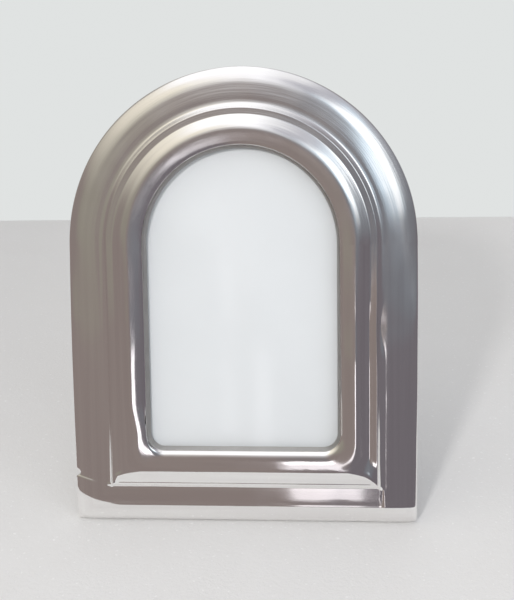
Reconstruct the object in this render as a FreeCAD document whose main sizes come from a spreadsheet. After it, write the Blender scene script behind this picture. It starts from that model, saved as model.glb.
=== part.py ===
import FreeCAD, Part
import math
import os

import Sketcher
from FreeCAD import Placement, Rotation, Vector

# Arch-topped photo frame: a cast aluminium front, a glazed picture behind it, and an easel back.
#
# The row frame has +Z up, +X to the viewer's right and -Y towards the viewer. Its origin is the
# middle of the narrow land on which the front stands. The face leans back, so most pieces are
# drawn in a face frame: x to the right, y up along the face from its bottom edge, and z out of
# the face towards the viewer, from the casting's flat rear plane. The strut's pieces are drawn
# in the same way as they lie when folded, about the hinge line, and are then swung open.

DIMENSIONS = (
    ("lean", 14.0, "degrees that the face leans back from upright"),
    ("strut_opening", 28.0, "degrees between the back and the opened strut"),
    ("land_drop", 0.5, "height trimmed off the rear bottom edge to make a flat land"),
    ("frame_width", 172.0, "overall width of the casting"),
    ("arch_centre", 140.4, "height of the arch's centre above the bottom edge"),
    ("slab_height", 8.8, "height of the outer band"),
    ("slab_rounding", 6.8, "rounding of the outer band's front edge"),
    ("step_inset", 19.2, "outer edge to the foot of the step"),
    ("step_height", 11.4, "height of the step"),
    ("step_cove", 2.4, "hollow rounding at the foot of the step"),
    ("moulding_inset", 22.6, "outer edge to the inner moulding"),
    ("moulding_height", 15.5, "height of the inner moulding"),
    ("moulding_corner", 6.0, "rounding of the moulding's bottom corners, seen from the front"),
    ("moulding_rounding", 4.0, "rounding of the moulding's outer edge"),
    ("sight_inset", 39.4, "outer edge to the sight opening"),
    ("sight_corner", 6.5, "rounding of the opening's bottom corners"),
    ("slope_width", 7.2, "width of the moulding's slope down to the opening"),
    ("slope_drop", 2.8, "drop of the moulding's slope down to the opening"),
    ("slope_rounding", 6.0, "rounding between the moulding's top and its slope"),
    ("ledge_height", 7.5, "depth of the recess behind the opening"),
    ("recess_width", 103.2, "width of the recess"),
    ("recess_length", 153.8, "height of the recess, to the top of its arch"),
    ("recess_bottom", 36.4, "bottom of the recess above the bottom edge"),
    ("recess_wall", 2.6, "wall left around the recess"),
    ("rim", 3.2, "thickness of the casting's outer rim"),
    ("hollow_depth", 4.8, "depth of the hollow behind the outer band"),
    ("boss_radius", 4.0, "radius of a boss for a turn button's screw"),
    ("button_out", 58.0, "middle of the frame to a turn button's screw"),
    ("button_low", 74.0, "height of the lower turn buttons"),
    ("button_high", 138.0, "height of the upper turn buttons"),
    ("button_reach", 9.0, "length of a turn button between its round ends' centres"),
    ("button_radius", 3.4, "radius of a turn button's ends"),
    ("button_thick", 1.0, "thickness of a turn button"),
    ("button_play", 0.1, "gap above and below a turn button"),
    ("button_hole", 1.58, "radius of a turn button's hole"),
    ("screw_radius", 1.5, "radius of a screw's shank"),
    ("screw_depth", 5.0, "depth of a screw in its boss"),
    ("screw_head_radius", 3.0, "radius of a screw's head"),
    ("screw_head_height", 1.5, "height of a screw's head"),
    ("screw_slot", 0.7, "width and depth of a screw's slot"),
    ("insert_gap", 0.3, "gap around the glass and the boards"),
    ("glass_thick", 2.0, "thickness of the glass"),
    ("card_width", 101.6, "width of the picture card, 4 inches"),
    ("card_length", 152.4, "height of the picture card, 6 inches, to the top of its arch"),
    ("card_thick", 0.3, "thickness of the picture card"),
    ("filler_thick", 1.4, "thickness of the filler board"),
    ("board_thick", 3.0, "thickness of the back board and of the strut board"),
    ("cloth_thick", 0.5, "thickness of the flock cloth"),
    ("hinge_height", 150.0, "height of the hinge line on the back"),
    ("hinge_behind", 3.2, "hinge line behind the casting's rear plane"),
    ("pin_radius", 1.0, "radius of the hinge pin"),
    ("pin_play", 0.05, "gap around the pin in a knuckle"),
    ("knuckle_radius", 2.0, "outer radius of a knuckle"),
    ("knuckle_middle", 9.6, "length of the lower leaf's knuckle"),
    ("knuckle_play", 0.3, "gap between neighbouring knuckles"),
    ("knuckle_outer", 9.0, "length of each of the upper leaf's knuckles"),
    ("leaf_thick", 0.8, "thickness of the hinge's leaves"),
    ("leaf_half_width", 21.5, "half the width of the leaves"),
    ("leaf_start", 5.0, "hinge line to the near edge of each leaf's plate"),
    ("leaf_end", 18.0, "hinge line to the far edge of each leaf's plate"),
    ("leaf_corner", 3.0, "corner rounding of the leaves"),
    ("ear_inside", 17.0, "middle of the hinge to the inside of a stop ear"),
    ("ear_play", 0.06, "gap between a stop ear and the upper leaf when open"),
    ("rivet_radius", 1.2, "radius of a rivet's shank"),
    ("rivet_play", 0.05, "gap around a rivet"),
    ("rivet_head_radius", 2.3, "radius of a rivet's head"),
    ("rivet_head_height", 0.7, "height of a rivet's head"),
    ("rivet_tail_radius", 1.84, "radius of a rivet's spread tail"),
    ("rivet_out", 11.0, "middle of the hinge to a rivet"),
    ("rivet_near", 9.0, "hinge line to the nearer rivets"),
    ("rivet_far", 14.5, "hinge line to the farther rivets"),
    ("strut_top_gap", 3.2, "hinge line to the strut board's top"),
    ("strut_top_half", 24.0, "half the strut's width at the top"),
    ("strut_foot_half", 33.0, "half the strut's width at the foot"),
)

PARTS_FOLDER = "parts"
FACE_PLANE = "XY_Plane"
SIDE_PLANE = "YZ_Plane"
TRIM_MARGIN = 4.0
CUT_MARGIN = 1.0


class Size:
    """A length or an angle: its number, and the spreadsheet expression that gives it."""

    def __init__(self, number, text):
        self.number = float(number)
        self.text = text

    def __add__(self, other):
        other = as_size(other)
        return Size(self.number + other.number, f"({self.text} + {other.text})")

    def __sub__(self, other):
        other = as_size(other)
        return Size(self.number - other.number, f"({self.text} - {other.text})")

    def __mul__(self, other):
        other = as_size(other)
        return Size(self.number * other.number, f"({self.text} * {other.text})")

    def __truediv__(self, other):
        other = as_size(other)
        return Size(self.number / other.number, f"({self.text} / {other.text})")

    def __neg__(self):
        return Size(-self.number, f"(0 - {self.text})")


def as_size(value):
    """A plain number as a Size."""
    if isinstance(value, Size):
        return value
    return Size(value, f"({float(value)})")


def cosine(angle):
    return Size(math.cos(math.radians(angle.number)), f"cos({angle.text} * 1 deg)")


def sine(angle):
    return Size(math.sin(math.radians(angle.number)), f"sin({angle.text} * 1 deg)")


doc = FreeCAD.newDocument("photo_frame")
sheet = doc.addObject("Spreadsheet::Sheet", "sizes")
size = {}
for row, (alias, number, meaning) in enumerate(DIMENSIONS, start=1):
    sheet.set(f"A{row}", alias)
    sheet.set(f"B{row}", str(number))
    sheet.set(f"C{row}", meaning)
    sheet.setAlias(f"B{row}", alias)
    size[alias] = Size(number, f"sizes.{alias}")
doc.recompute()

ZERO = as_size(0)
half_width = size["frame_width"] / 2
arch_top = size["arch_centre"] + half_width
lean_cos = cosine(size["lean"])
lean_sin = sine(size["lean"])
face_y = size["land_drop"] * (lean_cos / lean_sin - lean_sin / lean_cos) / 2
face_z = -size["land_drop"]
face_turn = as_size(90) - size["lean"]
strut_turn = face_turn + size["strut_opening"]
hinge_y = face_y + size["hinge_height"] * lean_sin + size["hinge_behind"] * lean_cos
hinge_z = face_z + size["hinge_height"] * lean_cos - size["hinge_behind"] * lean_sin
recess_middle = size["recess_bottom"] + size["recess_length"] / 2
card_back = size["ledge_height"] - size["glass_thick"] - size["card_thick"]
board_inside = card_back - size["filler_thick"]
board_outside = board_inside - size["board_thick"]
cloth_outside = board_outside - size["cloth_thick"]
leaf_rear = size["hinge_behind"] + cloth_outside - size["leaf_thick"]
strut_leaf_front = -(size["knuckle_radius"] - size["leaf_thick"])
strut_board_rear = strut_leaf_front + size["cloth_thick"]
strut_board_front = strut_board_rear + size["board_thick"]


def new_body(label):
    body = doc.addObject("PartDesign::Body", label)
    body.Label = label
    return body


def place(body, turn, base_y, base_z):
    """Stands a body up: a turn about X, then a shift in Y and Z."""
    angle = turn.number
    body.Placement = Placement(Vector(0, base_y.number, base_z.number), Rotation(Vector(1, 0, 0), angle))
    body.setExpression("Placement.Rotation.Angle", turn.text)
    body.setExpression("Placement.Base.y", base_y.text)
    body.setExpression("Placement.Base.z", base_z.text)


def place_on_face(body):
    place(body, face_turn, face_y, face_z)


def place_at_hinge(body):
    """For pieces of the hinge that stay with the back."""
    place(body, face_turn, hinge_y, hinge_z)


def place_on_strut(body):
    place(body, strut_turn, hinge_y, hinge_z)


def new_sketch(body, role, name, offset=ZERO):
    """A sketch on one of the body's own origin planes, shifted along the plane's normal."""
    sketch = body.newObject("Sketcher::SketchObject", name)
    plane = next(feature for feature in body.Origin.OriginFeatures if feature.Role == role)
    sketch.AttachmentSupport = (plane, [""])
    sketch.MapMode = "FlatFace"
    sketch.AttachmentOffset = Placement(Vector(0, 0, offset.number), Rotation())
    sketch.setExpression("AttachmentOffset.Base.z", offset.text)
    return sketch


def bind(sketch, kind, references, value):
    index = sketch.addConstraint(Sketcher.Constraint(kind, *references, value.number))
    sketch.setExpression(f"Constraints[{index}]", value.text)


def pin(sketch, geometry, end, point):
    """Holds an end of a line or arc, or a circle's centre, at a point given by two sizes."""
    bind(sketch, "DistanceX", (-1, 1, geometry, end), point[0])
    bind(sketch, "DistanceY", (-1, 1, geometry, end), point[1])


def draw_circle(sketch, centre, radius):
    middle = Vector(centre[0].number, centre[1].number, 0)
    index = sketch.addGeometry(Part.Circle(middle, Vector(0, 0, 1), radius.number), False)
    pin(sketch, index, 3, centre)
    bind(sketch, "Radius", (index,), radius)


def draw_polygon(sketch, points):
    """A closed outline through the given points."""
    first = sketch.GeometryCount
    count = len(points)
    for index, point in enumerate(points):
        after = points[(index + 1) % count]
        start = Vector(point[0].number, point[1].number, 0)
        end = Vector(after[0].number, after[1].number, 0)
        sketch.addGeometry(Part.LineSegment(start, end), False)
    for index, point in enumerate(points):
        sketch.addConstraint(
            Sketcher.Constraint("Coincident", first + index, 2, first + (index + 1) % count, 1))
        pin(sketch, first + index, 1, point)


def draw_box(sketch, left, right, bottom, top, foot_radius=ZERO, head_radius=ZERO):
    """A rectangle whose two lower and two upper corners may be rounded.

    Upper corners rounded by half the width make an arch.
    """
    corners = (
        (left, bottom, foot_radius, 180),
        (right, bottom, foot_radius, 270),
        (right, top, head_radius, 0),
        (left, top, head_radius, 90),
    )
    elements = []
    for x, y, radius, start_angle in corners:
        if radius.number == 0:
            elements.append(("corner", (x, y)))
            continue
        inward_x = radius if x is left else -radius
        inward_y = radius if y is bottom else -radius
        on_side = (x, y + inward_y)
        on_level = (x + inward_x, y)
        sideways_first = start_angle in (180, 0)
        ends = (on_side, on_level) if sideways_first else (on_level, on_side)
        centre = Vector((x + inward_x).number, (y + inward_y).number, 0)
        elements.append(("arc", ends, radius, centre, start_angle))
    pieces = []
    for index, element in enumerate(elements):
        following = elements[(index + 1) % len(elements)]
        if element[0] == "arc":
            circle = Part.Circle(element[3], Vector(0, 0, 1), element[2].number)
            angles = (math.radians(element[4]), math.radians(element[4] + 90))
            number = sketch.addGeometry(Part.ArcOfCircle(circle, *angles), False)
            pieces.append((number, element[1][0], element[2]))
            leave = element[1][1]
        else:
            leave = element[1]
        arrive = following[1][0] if following[0] == "arc" else following[1]
        start = Vector(leave[0].number, leave[1].number, 0)
        end = Vector(arrive[0].number, arrive[1].number, 0)
        if start.distanceToPoint(end) > 0.001:
            number = sketch.addGeometry(Part.LineSegment(start, end), False)
            pieces.append((number, leave, None))
    for index, (number, start, radius) in enumerate(pieces):
        following = pieces[(index + 1) % len(pieces)][0]
        sketch.addConstraint(Sketcher.Constraint("Coincident", number, 2, following, 1))
        pin(sketch, number, 1, start)
        if radius is not None:
            bind(sketch, "Radius", (number,), radius)


def draw_contour(sketch, inset, foot_radius=ZERO):
    """The casting's outline, moved in by inset."""
    side = half_width - inset
    draw_box(sketch, -side, side, inset + ZERO, arch_top - inset, foot_radius, side)


def draw_slot(sketch, reach, radius):
    """A round-ended bar from the origin along x; a negative reach points it the other way."""
    near = min(reach.number, 0)
    low, high = (ZERO, reach) if near == 0 else (reach, ZERO)
    draw_box(sketch, low - radius, high + radius, -radius, radius + ZERO, radius, radius)


def add_pad(body, sketch, length, midplane=False):
    pad = body.newObject("PartDesign::Pad", "pad")
    pad.Profile = sketch
    pad.setExpression("Length", length.text)
    pad.Length = length.number
    pad.Midplane = midplane
    sketch.Visibility = False
    doc.recompute()
    return pad


def add_pocket(body, sketch, depth=None, midplane=False):
    """Cuts along the sketch's normal, and stops the script if nothing was cut."""
    before = body.Shape.Volume
    pocket = body.newObject("PartDesign::Pocket", "pocket")
    pocket.Profile = sketch
    if depth is None:
        pocket.Type = "ThroughAll"
        pocket.Midplane = midplane
    else:
        pocket.setExpression("Length", depth.text)
        pocket.Length = depth.number
    pocket.Reversed = True
    doc.recompute()
    if body.Shape.Volume >= before - 0.01:
        raise RuntimeError(f"a pocket of {body.Label} cuts nothing")
    return pocket


def edge_names(shape, test):
    return [f"Edge{number}" for number, edge in enumerate(shape.Edges, start=1) if test(edge)]


def add_fillet(body, radius, test):
    """Rounds the edges of the body's last feature that pass the test."""
    base = body.Tip
    names = edge_names(base.Shape, test)
    if not names:
        raise RuntimeError(f"no edge of {body.Label} to round")
    fillet = body.newObject("PartDesign::Fillet", "fillet")
    fillet.Base = (base, names)
    fillet.setExpression("Radius", radius.text)
    fillet.Radius = radius.number
    doc.recompute()
    return fillet


def add_chamfer(body, drop, width, test):
    """Slopes the edges of the body's last feature that pass the test."""
    base = body.Tip
    chamfer = body.newObject("PartDesign::Chamfer", "chamfer")
    chamfer.Base = (base, edge_names(base.Shape, test))
    chamfer.ChamferType = "Two distances"
    chamfer.setExpression("Size", width.text)
    chamfer.setExpression("Size2", drop.text)
    chamfer.Size = width.number
    chamfer.Size2 = drop.number
    doc.recompute()
    return chamfer


def lies_at_height(edge, height, tolerance=0.001):
    box = edge.BoundBox
    return abs(box.ZMin - height.number) < tolerance and abs(box.ZMax - height.number) < tolerance


def follows_contour(edge, inset, foot_radius=0.0, tolerance=0.01):
    """True if an edge's middle lies on the casting's outline, moved in by inset."""
    middle = edge.valueAt((edge.FirstParameter + edge.LastParameter) / 2)
    side = half_width.number - inset.number
    centre = size["arch_centre"].number
    if middle.y > centre:
        return abs(math.hypot(middle.x, middle.y - centre) - side) < tolerance
    on_side = abs(abs(middle.x) - side) < tolerance
    on_foot = abs(middle.y - inset.number) < tolerance
    beside_corner = abs(abs(middle.x) - side) < foot_radius and middle.y - inset.number < foot_radius
    return on_side or on_foot or beside_corner


def trim_at_floor(body, floor_height, turn, low, high):
    """Cuts a body off along the floor, for a span of its own z.

    floor_height is how far the body's origin stands above the floor, and turn is its turn about X.
    """
    rise = sine(turn)
    run = cosine(turn)
    sketch = new_sketch(body, SIDE_PLANE, "floor_line")
    at_low = -(floor_height + low * run) / rise
    at_high = -(floor_height + high * run) / rise
    under = at_low - TRIM_MARGIN if at_low.number < at_high.number else at_high - TRIM_MARGIN
    draw_polygon(sketch, [(under, low), (at_low, low), (at_high, high), (under, high)])
    add_pocket(body, sketch, midplane=True)


def make_front_casting():
    body = new_body("front_casting")
    outline = new_sketch(body, FACE_PLANE, "outline")
    draw_contour(outline, ZERO)
    add_pad(body, outline, size["slab_height"])
    slab_top = size["slab_height"]
    add_fillet(body, size["slab_rounding"],
               lambda edge: lies_at_height(edge, slab_top) and follows_contour(edge, ZERO))
    step = new_sketch(body, FACE_PLANE, "step")
    draw_contour(step, size["step_inset"])
    add_pad(body, step, size["step_height"])
    add_fillet(body, size["step_cove"],
               lambda edge: lies_at_height(edge, slab_top) and follows_contour(edge, size["step_inset"]))
    moulding = new_sketch(body, FACE_PLANE, "moulding")
    draw_contour(moulding, size["moulding_inset"], size["moulding_corner"])
    add_pad(body, moulding, size["moulding_height"])
    crown = size["moulding_height"]
    corner = size["moulding_corner"].number
    add_fillet(body, size["moulding_rounding"],
               lambda edge: lies_at_height(edge, crown)
               and follows_contour(edge, size["moulding_inset"], corner))
    sight = new_sketch(body, FACE_PLANE, "sight")
    draw_contour(sight, size["sight_inset"], size["sight_corner"])
    add_pocket(body, sight)
    corner = size["sight_corner"].number
    add_chamfer(body, size["slope_drop"], size["slope_width"],
                lambda edge: lies_at_height(edge, crown)
                and follows_contour(edge, size["sight_inset"], corner))
    slope_inset = size["sight_inset"] - size["slope_width"]
    corner = corner + size["slope_width"].number
    add_fillet(body, size["slope_rounding"],
               lambda edge: lies_at_height(edge, crown)
               and follows_contour(edge, slope_inset, corner))
    recess = new_sketch(body, FACE_PLANE, "recess")
    draw_insert(recess, ZERO)
    add_pocket(body, recess, size["ledge_height"])
    hollow = new_sketch(body, FACE_PLANE, "hollow")
    draw_contour(hollow, size["rim"])
    draw_insert(hollow, -size["recess_wall"])
    add_pocket(body, hollow, size["hollow_depth"])
    bosses = new_sketch(body, FACE_PLANE, "bosses")
    for centre in button_places():
        draw_circle(bosses, centre, size["boss_radius"])
    add_pad(body, bosses, size["ledge_height"])
    holes = new_sketch(body, FACE_PLANE, "screw_holes")
    for centre in button_places():
        draw_circle(holes, centre, size["screw_radius"] + ZERO)
    add_pocket(body, holes, size["screw_depth"])
    trim_at_floor(body, face_z, face_turn, as_size(-CUT_MARGIN), size["rim"] + ZERO)
    place_on_face(body)


def draw_insert(sketch, gap):
    """The arched outline of something that lies in the recess, with a gap all round."""
    side = size["recess_width"] / 2 - gap
    low = size["recess_bottom"] + gap
    high = size["recess_bottom"] + size["recess_length"] - gap
    draw_box(sketch, -side, side, low, high, ZERO, side)


def button_places():
    places = []
    for height in (size["button_low"], size["button_high"]):
        places.append((-size["button_out"], height))
        places.append((size["button_out"] + ZERO, height))
    return places


def rivet_places(direction):
    """The four rivets of a leaf, above (1) or below (-1) the hinge line."""
    places = []
    for distance in (size["rivet_near"], size["rivet_far"]):
        for side in (-1, 1):
            places.append((size["rivet_out"] * side, distance * direction))
    return places


def on_face(places):
    """Places about the hinge line, moved to the face frame."""
    return [(x, y + size["hinge_height"]) for x, y in places]


def make_sheet(label, low, thick, holes=()):
    """A flat sheet that fills the recess, from the height low to low + thick."""
    body = new_body(label)
    sketch = new_sketch(body, FACE_PLANE, "sheet", low)
    draw_insert(sketch, size["insert_gap"])
    for centre in holes:
        draw_circle(sketch, centre, size["rivet_radius"] + size["rivet_play"])
    add_pad(body, sketch, thick)
    place_on_face(body)


def make_picture_card():
    body = new_body("picture_card")
    sketch = new_sketch(body, FACE_PLANE, "card", card_back)
    side = size["card_width"] / 2
    low = recess_middle - size["card_length"] / 2
    draw_box(sketch, -side, side, low, low + size["card_length"], ZERO, side)
    add_pad(body, sketch, size["card_thick"])
    place_on_face(body)


def draw_leaf(sketch, near, far, direction):
    """A leaf's plate, above (1) or below (-1) the hinge line."""
    side = size["leaf_half_width"]
    low, high = (near, far) if direction > 0 else (-far, -near)
    foot = ZERO if direction > 0 else size["leaf_corner"]
    head = size["leaf_corner"] if direction > 0 else ZERO
    draw_box(sketch, -side, side + ZERO, low + ZERO, high + ZERO, foot, head)
    for centre in rivet_places(direction):
        draw_circle(sketch, centre, size["rivet_radius"] + size["rivet_play"])


def add_knuckle(body, start, length, strip):
    """A rolled knuckle on the hinge line with the strip that joins it to its plate."""
    roll = new_sketch(body, SIDE_PLANE, "knuckle", start)
    draw_circle(roll, (ZERO, ZERO), size["knuckle_radius"])
    add_pad(body, roll, length)
    web = new_sketch(body, SIDE_PLANE, "strip", start)
    draw_polygon(web, strip)
    add_pad(body, web, length)


def bore_knuckles(body, play):
    bore = new_sketch(body, SIDE_PLANE, "pin_hole")
    draw_circle(bore, (ZERO, ZERO), size["pin_radius"] + play)
    add_pocket(body, bore, midplane=True)


def make_hinge_upper_leaf():
    body = new_body("hinge_upper_leaf")
    plate = new_sketch(body, FACE_PLANE, "plate", leaf_rear)
    draw_leaf(plate, size["leaf_start"], size["leaf_end"], 1)
    add_pad(body, plate, size["leaf_thick"])
    thick = size["leaf_thick"]
    roll_front = size["knuckle_radius"]
    strip = [
        (ZERO, roll_front - thick),
        (thick, roll_front - thick),
        (size["leaf_start"] + thick, leaf_rear),
        (size["leaf_start"] + thick, leaf_rear + thick),
        (size["leaf_start"], leaf_rear + thick),
        (ZERO, roll_front + ZERO),
    ]
    inner_end = size["knuckle_middle"] / 2 + size["knuckle_play"]
    for start in (inner_end, -(inner_end + size["knuckle_outer"])):
        add_knuckle(body, start, size["knuckle_outer"], strip)
    bore_knuckles(body, ZERO)
    place_at_hinge(body)


def make_hinge_lower_leaf():
    body = new_body("hinge_lower_leaf")
    rear = -size["knuckle_radius"]
    plate = new_sketch(body, FACE_PLANE, "plate", rear)
    draw_leaf(plate, size["leaf_start"], size["leaf_end"], -1)
    add_pad(body, plate, size["leaf_thick"])
    strip = [
        (-(size["leaf_start"] + size["leaf_thick"]), rear),
        (ZERO, rear),
        (ZERO, rear + size["leaf_thick"]),
        (-(size["leaf_start"] + size["leaf_thick"]), rear + size["leaf_thick"]),
    ]
    add_knuckle(body, -size["knuckle_middle"] / 2, size["knuckle_middle"], strip)
    opening = size["strut_opening"]
    room = leaf_rear - size["ear_play"]
    ear_tip = (room - strut_leaf_front * cosine(opening)) / sine(opening)
    ears = new_sketch(body, FACE_PLANE, "stop_ears", rear)
    foot = -(size["leaf_start"] + size["leaf_thick"])
    draw_box(ears, size["ear_inside"] + ZERO, size["leaf_half_width"] + ZERO, foot, ear_tip)
    draw_box(ears, -size["leaf_half_width"], -size["ear_inside"], foot, ear_tip)
    add_pad(body, ears, size["leaf_thick"])
    bore_knuckles(body, size["pin_play"])
    place_on_strut(body)


def make_hinge_pin():
    body = new_body("hinge_pin")
    length = size["knuckle_middle"] + (size["knuckle_play"] + size["knuckle_outer"]) * 2
    sketch = new_sketch(body, SIDE_PLANE, "round", -length / 2)
    draw_circle(sketch, (ZERO, ZERO), size["pin_radius"])
    add_pad(body, sketch, length)
    place_at_hinge(body)


def make_rivet(label, centre, low, high, head_low, tail_high):
    """One rivet along z: a domed head below low, a shank to high, and a tail if it stands out."""
    head = doc.addObject("Part::Cylinder", f"{label}_head")
    head.Placement = Placement(Vector(centre[0].number, centre[1].number, head_low.number), Rotation())
    head.setExpression("Radius", size["rivet_head_radius"].text)
    head.setExpression("Height", (low - head_low).text)
    shank = doc.addObject("Part::Cylinder", f"{label}_shank")
    shank.Placement = Placement(Vector(centre[0].number, centre[1].number, head_low.number), Rotation())
    shank.setExpression("Radius", size["rivet_radius"].text)
    shank.setExpression("Height", (high - head_low).text)
    solids = [head, shank]
    if tail_high.number > high.number:
        tail = doc.addObject("Part::Cylinder", f"{label}_tail")
        tail.Placement = Placement(Vector(centre[0].number, centre[1].number, high.number), Rotation())
        tail.setExpression("Radius", size["rivet_tail_radius"].text)
        tail.setExpression("Height", (tail_high - high).text)
        solids.append(tail)
    for solid in solids:
        solid.setExpression("Placement.Base.x", centre[0].text)
        solid.setExpression("Placement.Base.y", centre[1].text)
    rivet = doc.addObject("Part::MultiFuse", label)
    rivet.Shapes = solids
    rivet.Refine = True
    return rivet


def make_rivets(label, places, low, high, tail_high, put):
    """A group of separate rivets that share one node."""
    head_low = low - size["rivet_head_height"]
    rivets = [
        make_rivet(f"{label}_{number}", centre, low, high, head_low, tail_high)
        for number, centre in enumerate(places, start=1)
    ]
    group = doc.addObject("Part::Compound", label)
    group.Label = label
    group.Links = rivets
    put(group)


def make_strut_sheet(label, low, high):
    """The strut's board or its cloth: a tapered sheet that ends on the floor."""
    body = new_body(label)
    sketch = new_sketch(body, FACE_PLANE, "taper", low)
    top = -size["strut_top_gap"]
    foot = -(hinge_z / lean_cos) - TRIM_MARGIN
    points = [
        (-size["strut_foot_half"], foot),
        (size["strut_foot_half"] + ZERO, foot),
        (size["strut_top_half"] + ZERO, top),
        (-size["strut_top_half"], top),
    ]
    draw_polygon(sketch, points)
    for centre in rivet_places(-1):
        draw_circle(sketch, centre, size["rivet_radius"] + size["rivet_play"])
    add_pad(body, sketch, high - low)
    trim_at_floor(body, hinge_z, strut_turn, strut_leaf_front - CUT_MARGIN, strut_board_front + CUT_MARGIN)
    place_on_strut(body)


def make_turn_button(number, centre):
    """A pivoting clip. Its round end sits on the screw and it points towards the middle."""
    body = new_body(f"turn_button_{number}")
    sketch = new_sketch(body, FACE_PLANE, "bar", -(size["button_play"] + size["button_thick"]))
    inwards = -1 if centre[0].number > 0 else 1
    draw_slot(sketch, size["button_reach"] * inwards, size["button_radius"])
    draw_circle(sketch, (ZERO, ZERO), size["button_hole"])
    add_pad(body, sketch, size["button_thick"])
    base_y = face_y + centre[1] * lean_sin
    base_z = face_z + centre[1] * lean_cos
    place(body, face_turn, base_y, base_z)
    body.setExpression("Placement.Base.x", centre[0].text)


def make_screw(label, centre):
    """A slotted pan-head screw along z, its head behind the turn button."""
    head_low = -(size["button_play"] * 2 + size["button_thick"] + size["screw_head_height"])
    head = doc.addObject("Part::Cylinder", f"{label}_head")
    head.setExpression("Radius", size["screw_head_radius"].text)
    head.setExpression("Height", size["screw_head_height"].text)
    shank = doc.addObject("Part::Cylinder", f"{label}_shank")
    shank.setExpression("Radius", size["screw_radius"].text)
    shank.setExpression("Height", (size["screw_depth"] - head_low).text)
    slot = doc.addObject("Part::Box", f"{label}_slot")
    slot_reach = size["screw_head_radius"] + CUT_MARGIN
    slot.setExpression("Length", (slot_reach * 2).text)
    slot.setExpression("Width", size["screw_slot"].text)
    slot.setExpression("Height", (size["screw_slot"] + CUT_MARGIN).text)
    corners = (
        (head, ZERO, ZERO, head_low),
        (shank, ZERO, ZERO, head_low),
        (slot, slot_reach, size["screw_slot"] / 2, head_low - CUT_MARGIN),
    )
    for solid, left, low, bottom in corners:
        solid.setExpression("Placement.Base.x", (centre[0] - left).text)
        solid.setExpression("Placement.Base.y", (centre[1] - low).text)
        solid.setExpression("Placement.Base.z", bottom.text)
    blank = doc.addObject("Part::MultiFuse", f"{label}_blank")
    blank.Shapes = [head, shank]
    blank.Refine = True
    screw = doc.addObject("Part::Cut", label)
    screw.Base = blank
    screw.Tool = slot
    return screw


def make_turn_button_screws():
    group = doc.addObject("Part::Compound", "turn_button_screws")
    group.Label = "turn_button_screws"
    group.Links = [
        make_screw(f"screw_{number}", centre)
        for number, centre in enumerate(button_places(), start=1)
    ]
    place_on_face(group)


def make_all():
    make_front_casting()
    make_sheet("glass_pane", size["ledge_height"] - size["glass_thick"], size["glass_thick"])
    make_picture_card()
    make_sheet("filler_board", board_inside, size["filler_thick"])
    back_holes = on_face(rivet_places(1))
    make_sheet("back_board", board_outside, size["board_thick"], back_holes)
    make_sheet("back_cloth", cloth_outside, size["cloth_thick"], back_holes)
    make_strut_sheet("strut_board", strut_board_rear, strut_board_front)
    make_strut_sheet("strut_cloth", strut_leaf_front, strut_board_rear)
    make_hinge_upper_leaf()
    make_hinge_lower_leaf()
    make_hinge_pin()
    board_front = size["hinge_behind"] + board_inside
    make_rivets("upper_leaf_rivets", rivet_places(1), leaf_rear, board_front, board_front, place_at_hinge)
    tail = strut_board_front + size["rivet_head_height"]
    make_rivets("lower_leaf_rivets", rivet_places(-1), -size["knuckle_radius"], strut_board_front, tail,
                place_on_strut)
    for number, centre in enumerate(button_places(), start=1):
        make_turn_button(number, centre)
    make_turn_button_screws()


def find_nodes():
    """The sub-parts: the bodies, and the groups of identical fasteners."""
    kinds = ("PartDesign::Body", "Part::Compound")
    return [item for item in doc.Objects if item.TypeId in kinds]


def check_everything(nodes):
    for item in doc.Objects:
        if "Invalid" in item.State or "Error" in item.State:
            raise RuntimeError(f"{item.Label} failed: {item.State}")
    for node in nodes:
        if node.Shape.isNull() or not node.Shape.isValid() or not node.Shape.Solids:
            raise RuntimeError(f"{node.Label} has no valid solid")


def write_parts(nodes):
    os.makedirs(PARTS_FOLDER, exist_ok=True)
    for node in nodes:
        node.Shape.exportStep(os.path.join(PARTS_FOLDER, f"{node.Label}.step"))
        box = node.Shape.BoundBox
        print(f"{node.Label}: {len(node.Shape.Solids)} solid(s), {node.Shape.Volume:.1f} mm3, "
              f"x {box.XMin:.2f} to {box.XMax:.2f}, y {box.YMin:.2f} to {box.YMax:.2f}, "
              f"z {box.ZMin:.2f} to {box.ZMax:.2f}")


make_all()
doc.recompute()
all_nodes = find_nodes()
check_everything(all_nodes)
write_parts(all_nodes)
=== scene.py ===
import math

import bmesh
import bpy
import numpy as np
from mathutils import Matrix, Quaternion, Vector, noise


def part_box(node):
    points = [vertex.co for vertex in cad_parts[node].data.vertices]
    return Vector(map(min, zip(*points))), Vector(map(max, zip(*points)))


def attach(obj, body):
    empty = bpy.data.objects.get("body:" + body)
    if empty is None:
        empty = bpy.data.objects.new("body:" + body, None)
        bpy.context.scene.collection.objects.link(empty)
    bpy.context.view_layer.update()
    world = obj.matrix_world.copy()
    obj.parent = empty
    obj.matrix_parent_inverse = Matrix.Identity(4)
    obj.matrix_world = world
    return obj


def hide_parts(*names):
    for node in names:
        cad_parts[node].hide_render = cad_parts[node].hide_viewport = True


# An arch-topped photo frame: a hand-polished aluminium casting, a glazed card and an easel back.
# Everything is in metres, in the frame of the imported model: +Z up, +X to the viewer's right and
# -Y towards the viewer. Sizes given in millimetres are multiplied by MM.

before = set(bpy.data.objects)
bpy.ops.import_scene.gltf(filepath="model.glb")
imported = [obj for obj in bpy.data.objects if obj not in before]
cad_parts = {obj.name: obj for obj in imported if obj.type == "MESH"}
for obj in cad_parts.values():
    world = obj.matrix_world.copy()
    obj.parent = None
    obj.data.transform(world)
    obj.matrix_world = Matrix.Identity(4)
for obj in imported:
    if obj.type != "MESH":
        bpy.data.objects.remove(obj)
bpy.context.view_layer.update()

MM = 0.001
LEAN = math.radians(14.0)
LAND_DROP = 0.5 * MM
HALF_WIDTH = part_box("front_casting")[1].x
ARCH_CENTRE = 140.4 * MM

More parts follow.
